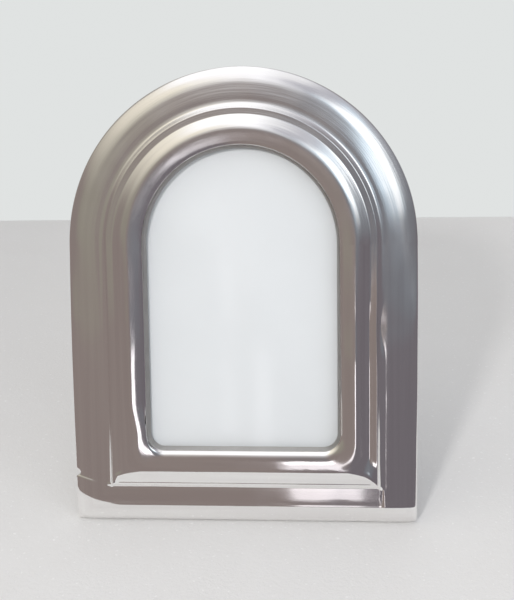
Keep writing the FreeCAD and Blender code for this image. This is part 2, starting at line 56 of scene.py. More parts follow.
ACROSS = Vector((1.0, 0.0, 0.0))
STRUT_OPENING = math.radians(28.0)
HINGE_LINE = sum(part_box("hinge_pin"), Vector()) / 2


def axes_at(lean):
    """Across, up along the face, and out of the face, for something that leans back by an angle."""
    along = Vector((0.0, math.sin(lean), math.cos(lean)))
    out = Vector((0.0, -math.cos(lean), math.sin(lean)))
    return ACROSS, along, out


# The face frame starts at the bottom edge of the casting's flat rear plane. The strut's frame
# starts on the hinge line and is drawn as the strut lies when folded.
FACE_AXES = axes_at(LEAN)
STRUT_AXES = axes_at(LEAN - STRUT_OPENING)
FACE_ORIGIN = Vector((0.0, LAND_DROP / 2 * (1 / math.tan(LEAN) - math.tan(LEAN)), -LAND_DROP))


def placed(points, origin, axes):
    """Rows of (across, along, out) in mm about an origin, moved to the row frame."""
    return np.asarray(points) * MM @ np.array(axes) + np.array(origin)


def direction_at(azimuth, elevation):
    """From the object towards an azimuth, from the front to the right, and an elevation."""
    flat = math.cos(elevation)
    return Vector((math.sin(azimuth) * flat, -math.cos(azimuth) * flat, math.sin(elevation)))


# ---------------------------------------------------------------- the casting's mesh

# The front's section from the outer edge to the sight opening, round the arch, down the legs and
# along the foot: inset from the outline and height above the rear plane in mm, and slope in degrees.
ARCH_SECTION = (
    (0.0, 0.4, 90),
    (0.0, 4.0, 90),
    (0.9, 5.5, 38),
    (8.7, 8.7, 3),
    (15.4, 8.95, -1.5),
    (17.1, 9.05, 9),
    (18.1, 9.5, 44),
    (19.6, 11.1, 52),
    (20.1, 11.35, 0),
    (22.7, 11.42, 1),
    (23.5, 11.74, 31),
    (25.4, 12.9, 32),
    (30.3, 14.8, 0),
    (31.6, 14.72, -6),
    (35.8, 14.02, -13),
    (37.7, 12.9, -50),
    (38.6, 11.7, -80),
    (39.4, 7.5, -80),
)
LEG_SECTION = (
    (0.0, 0.4, 90),
    (0.0, 6.2, 90),
    (0.9, 7.5, 24),
    (3.5, 8.15, 8),
    (8.7, 8.65, 3.5),
    (14.6, 8.95, 2),
    (15.6, 8.96, -1.5),
    (19.6, 11.1, 58),
    (20.1, 11.35, 9),
    (22.6, 11.85, 14),
    (25.4, 12.75, 21),
    (30.3, 14.3, 0),
    (31.6, 14.22, -6),
    (35.6, 13.6, -12),
    (37.4, 12.6, -48),
    (38.2, 11.7, -78),
    (39.4, 7.5, -78),
)
# Down the right leg the ledge above the cove leans in towards the opening.
RIGHT_LEG_SECTION = LEG_SECTION[:8] + (
    (20.1, 11.3, -7),
    (23.6, 10.95, -5),
    (24.3, 11.05, 20),
    (26.5, 12.2, 30),
) + LEG_SECTION[11:]
FOOT_SECTION = (
    (0.0, 0.4, 90),
    (0.0, 4.0, 90),
    (0.9, 5.5, 38),
    (8.6, 8.65, 6),
    (9.4, 8.66, 4.5),
    (18.3, 9.0, 0.5),
    (19.6, 10.2, 50),
    (20.6, 10.7, 16),
    (21.0, 10.78, 6),
    (21.4, 10.86, 18),
    (24.0, 11.95, 25),
    (27.4, 13.35, 17),
    (28.2, 13.5, 5),
    (33.5, 13.6, -4),
    (36.0, 13.2, -16),
    (37.4, 12.2, -50),
    (38.2, 11.3, -78),
    (39.4, 7.5, -78),
)
FRONT_STEPS = (3, 8, 26, 14, 8, 8, 10, 5, 9, 7, 9, 20, 8, 16, 14, 8, 8)
POLISHED_SEGMENTS = 15
CORNER_INSETS = (0.0, 22.6, 25.4, 30.3, 37.4, 39.4)
CORNER_RADII = (0.5, 0.5, 3.0, 12.0, 9.5, 7.0)

# How high above the rear plane the outer wall and the lip's back edge start, how far the bands at
# the bottom follow their sections, how far the foot's outer edge rolls over, and the seams, in mm.
WALL_FOOT = 0.4
LIP_BACK = 7.5
FOOT_BAND_END = 15.4
LEG_BAND_END = 14.4
LEG_BAND_RISE = 0.035
ROLL_REACH = 9.0
RIGHT_SEAM = 17.3
LEFT_SEAM_START = 24.5
LEFT_SEAM_FALL = 0.3
SEAM_REACH = 0.9
SEAM_DEPTH = 0.14

# How far in from the left edge the foot starts, at heights up the face in mm.
TURN_HEIGHTS = (0.0, 20.5, 25.0, 29.0, 200.0)
TURN_INSETS = (0.0, 20.5, 22.3, 29.0, 200.0)

# The back's section from the opening round to the outer edge: half width, height of the arch's
# centre, bottom, and height above the rear plane, in mm.
SIGHT_BACK = (46.6, 140.4, 39.4)
RECESS = (51.6, 138.6, 36.4)
RECESS_WALL = (54.2, 138.6, 33.8)
RIM = (82.8, 140.4, 3.2)
OUTLINE = (86.0, 140.4, 0.0)
BACK_SECTION = (
    (SIGHT_BACK, LIP_BACK), (RECESS, LIP_BACK), (RECESS, 0.3), (RECESS_WALL, 0.3),
    (RECESS_WALL, 4.8), (RIM, 4.8), (RIM, 0.0), (OUTLINE, 0.0), (OUTLINE, WALL_FOOT),
)
BACK_EDGE = 0.35
BACK_CORNER = 0.6

ARCH_POINTS = 260
LEG_POINTS = 200
CORNER_POINTS = 22
FOOT_POINTS = 310

# Shares of a leg's points and length up from the foot, and of the foot's from the left.
LEG_SPREAD = ((0.0, 0.5, 1.0), (0.0, 0.2, 1.0))
FOOT_SPREAD = ((0.0, 0.29, 0.71, 1.0), (0.0, 0.13, 0.87, 1.0))


def bezier(start, end, count):
    """Points of a curve between two stations, leaving and arriving at their slopes."""
    first = np.array(start[:2])
    last = np.array(end[:2])
    angles = [math.radians(start[2]), math.radians(end[2])]
    turn = abs(angles[1] - angles[0])
    reach = np.linalg.norm(last - first) * (1 / 3 + 0.057 * turn / (math.pi / 2))
    leave = first + reach * np.array([math.cos(angles[0]), math.sin(angles[0])])
    arrive = last - reach * np.array([math.cos(angles[1]), math.sin(angles[1])])
    t = np.linspace(0, 1, count, endpoint=False)[:, None]
    return ((1 - t) ** 3 * first + 3 * (1 - t) ** 2 * t * leave
            + 3 * (1 - t) * t ** 2 * arrive + t ** 3 * last)


def section_heights(section, insets):
    """The heights of a section at the given insets, leaving out the wall at its outer edge."""
    stations = section[1:]
    points = np.vstack([bezier(start, end, 40) for start, end in zip(stations, stations[1:])])
    return np.interp(insets, points[:, 0], points[:, 1])


def contour(side, centre, bottom, corner):
    """A closed arch-topped outline, from the right shoulder over the top and round the foot."""
    angle = np.linspace(0, math.pi, ARCH_POINTS, endpoint=False)
    arch = np.column_stack([side * np.cos(angle), centre + side * np.sin(angle)])
    share = np.linspace(0, 1, LEG_POINTS, endpoint=False)
    fall = 1 - np.interp(1 - share, *LEG_SPREAD)
    foot = bottom + corner
    left = np.column_stack([np.full(LEG_POINTS, -side), centre + (foot - centre) * fall])
    turn = np.linspace(math.pi, 1.5 * math.pi, CORNER_POINTS, endpoint=False)
    left_corner = np.column_stack([-side + corner + corner * np.cos(turn),
                                   foot + corner * np.sin(turn)])
    run = np.interp(np.linspace(0, 1, FOOT_POINTS, endpoint=False), *FOOT_SPREAD)
    inner = side - corner
    floor = np.column_stack([-inner + 2 * inner * run, np.full(FOOT_POINTS, bottom)])
    turn = np.linspace(1.5 * math.pi, 2 * math.pi, CORNER_POINTS, endpoint=False)
    right_corner = np.column_stack([side - corner + corner * np.cos(turn),
                                    foot + corner * np.sin(turn)])
    rise = np.interp(share, *LEG_SPREAD)
    right = np.column_stack([np.full(LEG_POINTS, side), foot + (centre - foot) * rise])
    return np.vstack([arch, left, left_corner, floor, right_corner, right])


def casting_rings():
    """The casting's rings in mm, the inset of each front ring, and the number of polished ones."""
    rings = []
    insets = []
    polished = 0
    full_side = HALF_WIDTH / MM
    centre = ARCH_CENTRE / MM
    for number, (start, end, steps) in enumerate(zip(ARCH_SECTION, ARCH_SECTION[1:], FRONT_STEPS)):
        for inset, height in bezier(start, end, steps):
            corner = np.interp(inset, CORNER_INSETS, CORNER_RADII)
            flat = contour(full_side - inset, centre, inset, corner)
            rings.append(np.column_stack([flat, np.full(len(flat), height)]))
            insets.append(inset)
        if number < POLISHED_SEGMENTS:
            polished = len(rings)
    corners = [np.array([*shape, height]) for shape, height in BACK_SECTION]
    for before, here, after in zip(corners, corners[1:], corners[2:]):
        for other in (before, after):
            gap = other - here
            size = max(np.abs(gap).max(), 1e-6)
            edge = here + gap * min(BACK_EDGE / size, 0.45)
            flat = contour(edge[0], edge[1], edge[2], BACK_CORNER)
            rings.append(np.column_stack([flat, np.full(len(flat), edge[3])]))
    return np.array(rings), np.array(insets), polished


def ease(value, low, high):
    """Rises smoothly from 0 at low to 1 at high."""
    t = np.clip((value - low) / (high - low), 0, 1)
    return t * t * (3 - 2 * t)


def hump(value, middle, reach):
    """A smooth hump: 1 at the middle and 0 beyond the reach."""
    return ease(reach - np.abs(value - middle), 0.0, reach)


def angle_round(outline):
    """Degrees round the arch from the right, carried on down both legs."""
    rise = outline[:, 1] - ARCH_CENTRE / MM
    angle = np.degrees(np.arctan2(rise, outline[:, 0]))
    down_leg = np.degrees(rise / (HALF_WIDTH / MM))
    return np.where(rise > 0, angle, np.where(outline[:, 0] > 0, down_leg, 180 - down_leg))


def arch_heights(inset, round_arch):
    """Round the arch. On the right shoulder the cove starts further out, the crown further in."""
    shift = 1.7 * hump(inset, 16.2, 3.4) * hump(round_arch, 37.0, 20.0)
    shift -= 1.6 * hump(inset, 24.2, 3.6) * hump(round_arch, 14.0, 26.0)
    return section_heights(ARCH_SECTION, inset + shift)


def leg_heights(inset, edge, along, right):
    """Down the legs. Their bands run on to the ground, and their coves end above the foot's."""
    # The right leg's cove is shallow for a short way, and its ledge fades towards the foot.
    shallow = hump(along, 101.0, 18.0) * right
    on_side = inset - 2.4 * hump(inset, 17.4, 3.2) * shallow
    leg = section_heights(LEG_SECTION, on_side)
    ledge = right * ease(along, 22.0, 36.0)
    leg += (section_heights(RIGHT_LEG_SECTION, on_side) - leg) * ledge
    leg -= 0.033 * np.clip(inset - 15.0, 0.0, 3.5) * shallow
    band = section_heights(LEG_SECTION, np.minimum(edge, LEG_BAND_END))
    band += LEG_BAND_RISE * np.maximum(edge - LEG_BAND_END, 0.0)
    return band + (leg - band) * ease(along, 16.5, 19.5)


def foot_heights(inset, edge, along):
    """Along the foot. Its band runs on to the sides, and its cove ends beside the legs' bands."""
    foot = section_heights(FOOT_SECTION, along + (inset - along) * ease(along, 25.0, 29.0))
    band = section_heights(FOOT_SECTION, np.minimum(along, FOOT_BAND_END))
    return band + (foot - band) * ease(edge, 15.5, 18.5)


def shape_front(front, insets):
    """Changes the front's rings from the arch's section to the legs' and the foot's, in mm."""
    inset = insets[:, None] * np.ones(front.shape[1])
    across, along, height = front[:, :, 0], front[:, :, 1], front[:, :, 2]
    edge = HALF_WIDTH / MM - np.abs(across)
    right = across > 0
    round_arch = angle_round(front[0])
    arch = arch_heights(inset, round_arch)
    leg = leg_heights(inset, edge, along, right)
    foot = foot_heights(inset, edge, along)
    # The foot's outer edge rolls over under the legs too, and higher up at its left end.
    ground = ROLL_REACH + 10.0 * (np.maximum(-across - 56.0, 0.0) / 30.0) ** 3
    rolled = section_heights(FOOT_SECTION, np.minimum(along / ground, 1.0) * ROLL_REACH)
    leg += rolled - section_heights(FOOT_SECTION, ROLL_REACH)
    foot += rolled - section_heights(FOOT_SECTION, np.minimum(along, ROLL_REACH))
    beside = section_heights(LEG_SECTION, np.minimum(edge, ROLL_REACH))
    foot += beside - section_heights(LEG_SECTION, ROLL_REACH)
    # The foot meets the legs in a mitre. Its outer band stops at a seam short of the right edge,
    # and runs on to the left edge under another seam.
    under_seam = LEFT_SEAM_START - LEFT_SEAM_FALL * edge - along
    left_mitre = np.maximum(edge - np.interp(along, TURN_HEIGHTS, TURN_INSETS), under_seam)
    mitre = np.where(right, edge - np.maximum(along, RIGHT_SEAM), left_mitre)
    spread = 1.0 + 0.8 * np.interp(inset, CORNER_INSETS, CORNER_RADII)
    spread += 2.2 * hump(inset, 24.0, 5.0)
    on_foot = ease(mitre / spread, -1.0, 1.0)
    on_leg = (1 - on_foot) * ease(150.0 - along, 0.0, 50.0)
    change = on_leg * (leg - arch) + on_foot * (foot - arch)
    right_ends = ease(along, 5.0, 8.0) * ease(-along, -20.0, -17.0) * right
    left_ends = ease(-edge, -17.0, -12.0) * ease(edge, 0.0, 2.0) * ~right
    change -= SEAM_DEPTH * hump(edge, RIGHT_SEAM, SEAM_REACH) * right_ends
    change -= SEAM_DEPTH * hump(mitre, 0.0, SEAM_REACH) * left_ends
    # The band is rounder over its width on the right shoulder, and a little on the left.
    change -= 2.2 * ease(17.0 - inset, 0.0, 15.0) * hump(round_arch, 18.0, 50.0)
    change -= 0.4 * ease(12.0 - inset, 0.0, 12.0) * hump(round_arch, 158.0, 45.0)
    wall = np.clip((height - WALL_FOOT) / (ARCH_SECTION[1][1] - WALL_FOOT), 0.0, 1.0)
    height += change * np.where(inset > 0, 1.0, wall)
    # The moulding turns a wider corner at the lower left.
    inner = ease(inset, 26.0, 31.0) * ease(38.0 - inset, 0.0, 3.0)
    across += 2.4 * inner * ease(-across, 20.0, 45.0) * hump(along, 44.0, 20.0)


def chip(points):
    """A chip out of the outer edge, low on the left."""
    edge = HALF_WIDTH / MM + points[:, 0]
    points[:, 0] += 2.3 * hump(points[:, 1], 25.0, 2.4) * ease(3.2 - edge, 0.0, 3.2)


def wander(points, scale, seed):
    """Smooth noise about -1 to 1 at points in mm, with features about scale mm wide."""
    shift = Vector((seed * 17.3, seed * 5.1, seed * 9.7))
    return np.array([noise.noise(Vector(p) / scale + shift) for p in points])


def hand_finish(points):
    """Moves the polished front a little, as hand polishing leaves it."""
    finished = points.copy()
    finished[:, 2] += 0.16 * wander(points, 34.0, 1) + 0.05 * wander(points, 13.0, 2)
    finished[:, 0] += 0.10 * wander(points, 27.0, 3)
    finished[:, 1] += 0.10 * wander(points, 27.0, 4)
    return finished


def grid_faces(ring_count, ring_size):
    """Quads that join each ring to the next and the last to the first."""
    rows = np.arange(ring_count)[:, None] * ring_size
    after = ((np.arange(ring_count) + 1) % ring_count)[:, None] * ring_size
    here = np.arange(ring_size)[None, :]
    beside = (here + 1) % ring_size
    return np.stack([rows + here, rows + beside, after + beside, after + here], axis=-1).reshape(-1, 4)


def new_mesh_object(name, vertices, faces, *materials):
    """An object in the scene from points and faces, with its normals turned outwards."""
    mesh = bpy.data.meshes.new(name)
    mesh.from_pydata([tuple(v) for v in vertices], [], [tuple(int(i) for i in f) for f in faces])
    mesh.validate()
    shell = bmesh.new()
    shell.from_mesh(mesh)
    bmesh.ops.recalc_face_normals(shell, faces=shell.faces)
    shell.to_mesh(mesh)
    shell.free()
    for material in materials:
        mesh.materials.append(material)
    obj = bpy.data.objects.new(name, mesh)
    bpy.context.scene.collection.objects.link(obj)
    return obj


def soften(obj, sharpest):
    """Smooth shading, but for edges sharper than an angle in degrees."""
    mesh = obj.data
    mesh.polygons.foreach_set("use_smooth", np.ones(len(mesh.polygons), bool))
    mesh.set_sharp_from_angle(angle=math.radians(sharpest))


def add_section_map(mesh, points, ring_count, ring_size):
    """A UV map in metres: along the moulding, and across it from the outer edge inwards."""
    grid = points.reshape(ring_count, ring_size, 3) * MM
    edge = np.vstack([grid[0], grid[0, :1]])
    along = np.concatenate([[0.0], np.cumsum(np.linalg.norm(np.diff(edge, axis=0), axis=1))])
    jumps = np.linalg.norm(np.roll(grid, -1, axis=0) - grid, axis=2).mean(axis=1)
    across = np.concatenate([[0.0], np.cumsum(jumps)])
    quads = ring_count * ring_size
    vertex = np.empty(len(mesh.loops), np.int32)
    mesh.loops.foreach_get("vertex_index", vertex)
    vertex = vertex[:4 * quads].reshape(quads, 4)
    ring, spot = divmod(np.arange(quads)[:, None], ring_size)
    ring = ring + (vertex // ring_size != ring)
    spot = spot + (vertex % ring_size != spot)
    values = np.zeros((len(mesh.loops), 2), np.float32)
    values[:4 * quads] = np.stack([along[spot], across[ring]], axis=-1).reshape(-1, 2)
    layer = mesh.uv_layers.new(name="section")
    layer.data.foreach_set("uv", values.ravel())


def stacked(rings):
    """A closed shell through rings of one size, with a flat cap at each end."""
    count = len(rings[0])
    last = (len(rings) - 1) * count
    faces = [tuple(face) for face in grid_faces(len(rings), count)[:-count]]
    faces.append(tuple(range(count - 1, -1, -1)))
    faces.append(tuple(range(last, last + count)))
    return np.vstack(rings), faces


def merged(shells):
    """Several shells as one mesh's points and faces."""
    points = []
    faces = []
    for shell_points, shell_faces in shells:
        shift = sum(len(group) for group in points)
        points.append(shell_points)
        faces += [tuple(int(i) + shift for i in face) for face in shell_faces]
    return np.vstack(points), faces


def lathe(profile, centre=(0.0, 0.0), segments=40):
    """A shell turned about the out axis from (radius, height) points in mm."""
    angle = np.linspace(0, 2 * math.pi, segments, endpoint=False)
    rings = []
    for radius, height in profile:
        x = centre[0] + radius * np.cos(angle)
        y = centre[1] + radius * np.sin(angle)
        rings.append(np.column_stack([x, y, np.full(segments, height)]))
    return stacked(rings)


def rounded(corners, steps=8):
    """A closed outline through (x, y, radius) corners, which go round it anticlockwise."""
    points = []
    for number, corner in enumerate(corners):
        here = np.array(corner[:2])
        back = np.array(corners[number - 1][:2]) - here
        on = np.array(corners[(number + 1) % len(corners)][:2]) - here
        back = back / np.linalg.norm(back)
        on = on / np.linalg.norm(on)
        half_angle = math.acos(np.clip(back @ on, -1, 1)) / 2
        cut = corner[2] / math.tan(half_angle)
        weight = math.sin(half_angle)
        for t in np.linspace(0, 1, steps + 1):
            shares = np.array([(1 - t) ** 2, 2 * t * (1 - t) * weight, t * t])
            place = shares @ np.array([here + back * cut, here, here + on * cut]) / shares.sum()
            points.append(place)
    return np.array(points)


def moved_in(outline, amount):
    """An anticlockwise outline moved in by an amount all round."""
    ahead = np.roll(outline, -1, axis=0) - outline
    ahead = ahead / np.linalg.norm(ahead, axis=1)[:, None]
    inward = np.column_stack([-ahead[:, 1], ahead[:, 0]])
    both = inward + np.roll(inward, 1, axis=0)
    both = both / np.linalg.norm(both, axis=1)[:, None]
    return outline + both * (amount / (both * inward).sum(axis=1))[:, None]


def plate(outline, low, high, bevel):
    """A flat plate with softened edges, from an outline that may depend on the height."""
    shape = outline if callable(outline) else lambda height: outline
    soft = bevel * (1 - math.sqrt(0.5))
    levels = ((bevel, low), (soft, low + soft), (0.0, low + bevel),
              (0.0, high - bevel), (soft, high - soft), (bevel, high))
    rings = []
    for inset, height in levels:
        flat = moved_in(shape(height), inset)
        rings.append(np.column_stack([flat, np.full(len(flat), height)]))
    return stacked(rings)


# ---------------------------------------------------------------- the pieces

# How far the edges are rounded, and the gap between the pane and the card, in mm.
GROUND_EDGE = 0.25
CARD_EDGE = 0.06
CUT_EDGE = 0.1
CLOTH_EDGE = 0.2
WORN_EDGE = 0.4
PRESSED_EDGE = 0.15
AIR_GAP = 0.05

# Where the four turn buttons pivot, and which way each one points.
BUTTONS = ((-58.0, 74.0, 1), (58.0, 74.0, -1), (-58.0, 138.0, 1), (58.0, 138.0, -1))
BOSS_PROFILE = (
    (5.2, 5.2), (4.9, 4.8), (4.4, 4.45), (4.15, 3.8), (4.0, 0.45), (3.88, 0.16), (3.6, 0.04),
    (1.9, 0.04), (1.65, 0.25), (1.55, 0.9), (1.55, 3.0),
)


def build_casting(polished_metal, rough_metal):
    rings, insets, polished = casting_rings()
    shape_front(rings[:len(insets)], insets)
    ring_size = rings.shape[1]
    points = rings.reshape(-1, 3)
    chip(points)
    front = polished * ring_size
    points[:front] = hand_finish(points[:front])
    faces = grid_faces(len(rings), ring_size)
    bosses = [lathe(BOSS_PROFILE, (x, y)) for x, y, _ in BUTTONS]
    all_points, all_faces = merged([(points, faces)] + bosses)
    standing = placed(all_points, FACE_ORIGIN, FACE_AXES)
    standing[:, 2] = np.maximum(standing[:, 2], 0.0)
    casting = new_mesh_object("polished_casting", standing, all_faces, polished_metal, rough_metal)
    mesh = casting.data
    indices = np.where(np.arange(len(mesh.polygons)) < front, 0, 1).astype(np.int32)
    mesh.polygons.foreach_set("material_index", indices)
    soften(casting, 50)
    add_section_map(mesh, points, len(rings), ring_size)
    hand_over(casting, "front_casting", "frame")


def hand_over(piece, node, body):
    """The piece moves with a body and stands in for a CAD node."""
    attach(piece, body)
    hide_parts(node)


def add_piece(name, shell, origin, axes, material, node, body, sharpest=35):
    """A piece from a shell in mm about an origin, smooth but for its sharp edges."""
    points, faces = shell
    piece = new_mesh_object(name, placed(points, origin, axes), faces, material)
    soften(piece, sharpest)
    hand_over(piece, node, body)
    return piece


def extent(node, origin, axes):
    """Lowest and highest coordinates, in mm, of a CAD node along three axes from an origin."""
    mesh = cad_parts[node].data
    points = np.empty(len(mesh.vertices) * 3)
    mesh.vertices.foreach_get("co", points)
    local = (points.reshape(-1, 3) - np.array(origin)) @ np.array(axes).T / MM
    return local.min(axis=0), local.max(axis=0)


def add_arched_sheet(name, edge, material, node, gap=0.0):
    """A flat arched sheet the size of a CAD node, with a gap left in front of it."""
    low, high = extent(node, FACE_ORIGIN, FACE_AXES)
    outline = contour(high[0], high[1] - high[0], low[1], BACK_CORNER)
    shell = plate(outline, low[2], high[2] - gap, edge)
    return add_piece(name, shell, FACE_ORIGIN, FACE_AXES, material, node, "frame")


def build_glazing():
    pane = add_arched_sheet("picture_glass", GROUND_EDGE, make_glass(), "glass_pane")
    pane.visible_shadow = False
    pane.visible_diffuse = False
    add_arched_sheet("blank_card", CARD_EDGE, make_white_card(), "picture_card", AIR_GAP)


def build_backing(board_material, flock):
    add_arched_sheet("filler_card", CUT_EDGE, make_grey_card(), "filler_board")
    add_arched_sheet("backing_board", CUT_EDGE, board_material, "back_board")
    cloth = add_arched_sheet("backing_cloth", CLOTH_EDGE, flock, "back_cloth")


STRUT_TOP = -3.2
STRUT_TOP_HALF = 24.0
STRUT_FOOT_HALF = 33.0
STRUT_FOOT_END = HINGE_LINE.z / math.cos(LEAN) / MM + 4.0


def strut_outline(height):
    """The strut's tapered outline at a height above its rear face, cut off along the floor."""
    splay = STRUT_OPENING - LEAN
    foot = -(HINGE_LINE.z / MM - height * math.sin(splay)) / math.cos(splay)
    share = (STRUT_TOP - foot) / (STRUT_TOP + STRUT_FOOT_END)
    half = STRUT_TOP_HALF + (STRUT_FOOT_HALF - STRUT_TOP_HALF) * share
    return rounded([(-half, foot, 1.0), (half, foot, 1.0),
                    (STRUT_TOP_HALF, STRUT_TOP, 1.5), (-STRUT_TOP_HALF, STRUT_TOP, 1.5)])


def build_strut(board_material, flock):
    for name, edge, material, node, slot in (
        ("easel_strut", WORN_EDGE, board_material, "strut_board", "fibreboard"),
        ("strut_covering", CLOTH_EDGE, flock, "strut_cloth", "flock_cloth"),
    ):
        low, high = extent(node, HINGE_LINE, STRUT_AXES)
        shell = plate(strut_outline, low[2], high[2], edge)
        piece = add_piece(name, shell, HINGE_LINE, STRUT_AXES, material, node, "strut")


PIN_RADIUS = 1.0
PIN_EDGE = 0.3
KNUCKLE_RADIUS = 2.0
LEAF_THICK = 0.8
LEAF_SIDE = 21.5
LEAF_NEAR = 5.0
LEAF_FAR = 18.0
MIDDLE_KNUCKLE = 9.6
OUTER_KNUCKLE = 9.0
KNUCKLE_GAP = 0.3
KNUCKLE_EDGE = 0.12
EAR_INSIDE = 17.0
RIVET_PLACES = tuple((x, y) for x in (-11.0, 11.0) for y in (9.0, 14.5))


def curl(shave, rise):
    """Where a leaf's metal leaves its plate and rolls round the pin: an outline across the hinge."""
    outer = KNUCKLE_RADIUS - shave
    inner = PIN_RADIUS + 0.05 + shave
    reach = LEAF_NEAR + LEAF_THICK / 2
    angle = np.radians(np.linspace(90.0, 385.0, 30))
    rolled = np.column_stack([np.cos(angle), np.sin(angle)])
    strip = [(reach, KNUCKLE_RADIUS + rise - shave)]
    under = [(reach, KNUCKLE_RADIUS + rise - LEAF_THICK + shave)]
    return np.vstack([strip, rolled * outer, rolled[::-1] * inner, under])


def knuckle(start, length, rise, side):
    """A rolled knuckle along the hinge line; side is 1 for the upper leaf and -1 for the lower."""
    end = start + length
    rings = []
    for shave, x in ((KNUCKLE_EDGE, start), (0.0, start + KNUCKLE_EDGE),
                     (0.0, end - KNUCKLE_EDGE), (KNUCKLE_EDGE, end)):
        shape = curl(shave, rise) * side
        rings.append(np.column_stack([np.full(len(shape), x), shape]))
    return stacked(rings)


def build_hinge(steel):
    low, high = extent("hinge_upper_leaf", HINGE_LINE, FACE_AXES)
    corners = [(-LEAF_SIDE, LEAF_NEAR, 0.3), (LEAF_SIDE, LEAF_NEAR, 0.3),
               (LEAF_SIDE, LEAF_FAR, 3.0), (-LEAF_SIDE, LEAF_FAR, 3.0)]
    first = MIDDLE_KNUCKLE / 2 + KNUCKLE_GAP
    rise = high[2] - KNUCKLE_RADIUS
    shells = [plate(rounded(corners), high[2] - LEAF_THICK, high[2], PRESSED_EDGE)]
    shells += [knuckle(start, OUTER_KNUCKLE, rise, 1) for start in (first, -first - OUTER_KNUCKLE)]
    add_piece("upper_hinge_leaf", merged(shells), HINGE_LINE, FACE_AXES, steel,
              "hinge_upper_leaf", "frame")

    low, high = extent("hinge_lower_leaf", HINGE_LINE, STRUT_AXES)
    ear_tip = high[1]
    corners = [
        (-LEAF_SIDE, -LEAF_FAR, 3.0), (LEAF_SIDE, -LEAF_FAR, 3.0), (LEAF_SIDE, ear_tip, 0.8),
        (EAR_INSIDE, ear_tip, 0.8), (EAR_INSIDE, -LEAF_NEAR, 0.8),
        (-EAR_INSIDE, -LEAF_NEAR, 0.8), (-EAR_INSIDE, ear_tip, 0.8), (-LEAF_SIDE, ear_tip, 0.8),
    ]
    shells = [plate(rounded(corners), low[2], low[2] + LEAF_THICK, PRESSED_EDGE),
              knuckle(-MIDDLE_KNUCKLE / 2, MIDDLE_KNUCKLE, 0.0, -1)]
    add_piece("lower_hinge_leaf", merged(shells), HINGE_LINE, STRUT_AXES, steel,
              "hinge_lower_leaf", "strut")

    half = MIDDLE_KNUCKLE / 2 + KNUCKLE_GAP + OUTER_KNUCKLE
    end = PIN_RADIUS - PIN_EDGE
    side = half - PIN_EDGE
    points, faces = lathe([(end, -half), (PIN_RADIUS, -side), (PIN_RADIUS, side), (end, half)])
    add_piece("hinge_rod", (points[:, [2, 0, 1]], faces), HINGE_LINE, FACE_AXES, steel,
              "hinge_pin", "frame")


RIVET_RADIUS = 1.2
RIVET_HEAD = (2.3, 0.7)
RIVET_TAIL = (1.84, 0.7)


def dome(radius, height, steps=7):
    """The (radius, rise) points of a domed head, from its middle to its rim."""
    angles = np.linspace(0.08, math.pi / 2, steps)
    return [(radius * math.sin(a), height * math.cos(a)) for a in angles]


def rivet(centre, under_head, shank_end, has_tail):
    """A rivet with its domed head below the leaf and its shank up through the boards."""
    profile = [(r, under_head - rise) for r, rise in dome(*RIVET_HEAD)]
    profile += [(RIVET_RADIUS, under_head), (RIVET_RADIUS, shank_end)]
    if has_tail:
        profile += [(r, shank_end + rise) for r, rise in reversed(dome(*RIVET_TAIL))]
    return lathe(profile, centre, 28)


def build_rivets(brass):
    low, high = extent("upper_leaf_rivets", HINGE_LINE, FACE_AXES)
    shells = [rivet((x, y), low[2] + RIVET_HEAD[1], high[2], False) for x, y in RIVET_PLACES]
    add_piece("upper_rivets", merged(shells), HINGE_LINE, FACE_AXES, brass,
              "upper_leaf_rivets", "frame", 40)
    low, high = extent("lower_leaf_rivets", HINGE_LINE, STRUT_AXES)
    shank_end = high[2] - RIVET_TAIL[1]
    shells = [rivet((x, -y), low[2] + RIVET_HEAD[1], shank_end, True) for x, y in RIVET_PLACES]
    add_piece("lower_rivets", merged(shells), HINGE_LINE, STRUT_AXES, brass,
              "lower_leaf_rivets", "strut", 40)


BUTTON_RADIUS = 3.4
BUTTON_REACH = 9.0
BUTTON_LEVELS = (-1.1, -0.1)
SCREW_PROFILE = (
    (0.1, -2.7), (1.1, -2.68), (2.0, -2.54), (2.6, -2.22), (2.92, -1.85), (3.0, -1.5), (3.0, -1.28),
    (2.92, -1.2), (1.5, -1.2), (1.5, 4.6), (1.2, 5.0),
)
SLOT_WIDTH = 0.7
SLOT_FLOOR = -2.0
SLOT_CUT = 4.0
SLOT_TURNS = (12.0, 71.0, 148.0, 33.0)


def build_turn_buttons(steel):
    for number, (x, y, way) in enumerate(BUTTONS, start=1):
        near = x - way * BUTTON_RADIUS
        far = x + way * (BUTTON_REACH + BUTTON_RADIUS)
        left, right = min(near, far), max(near, far)
        radius = BUTTON_RADIUS - 0.01
        corners = [(left, y - BUTTON_RADIUS, radius), (right, y - BUTTON_RADIUS, radius),
                   (right, y + BUTTON_RADIUS, radius), (left, y + BUTTON_RADIUS, radius)]
        shell = plate(rounded(corners, 14), *BUTTON_LEVELS, PRESSED_EDGE)
        node = f"turn_button_{number}"
        add_piece(f"clip_{number}", shell, FACE_ORIGIN, FACE_AXES, steel, node, node)


